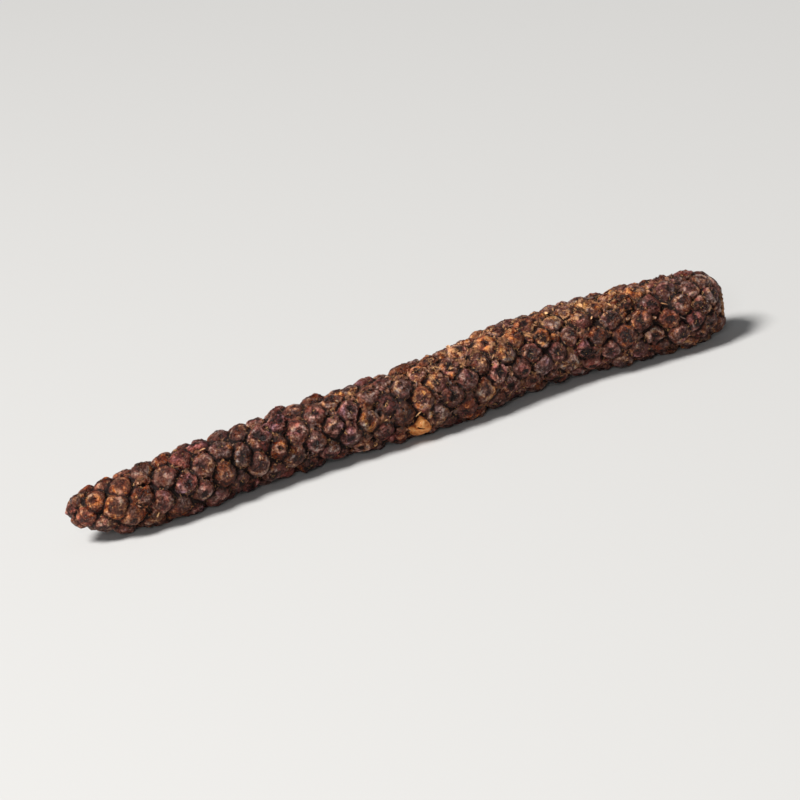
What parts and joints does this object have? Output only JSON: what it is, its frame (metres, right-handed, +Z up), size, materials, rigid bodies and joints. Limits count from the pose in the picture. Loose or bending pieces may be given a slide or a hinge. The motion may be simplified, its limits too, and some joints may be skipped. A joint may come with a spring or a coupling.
{
  "type": "long pepper",
  "caption": "Dried long pepper: a slender, slightly bent spike of small drupes grown together in spirals, with a torn stalk scar at its thick end, lying on its side.",
  "frame": {"origin": "middle of the spike's footprint, on the surface it lies on", "axes": "+X along the spike from its tip to its stalk end, +Y across it, +Z up"},
  "size_m": [0.0484, 0.0066, 0.0053],
  "materials": {
    "dried_spike": "dry, wrinkled, matt to faintly waxy, dark in the furrows and tan on the rims of the drupes"
  },
  "bodies": {
    "root": {"long_pepper": "dried_spike"}
  },
  "joints": []
}
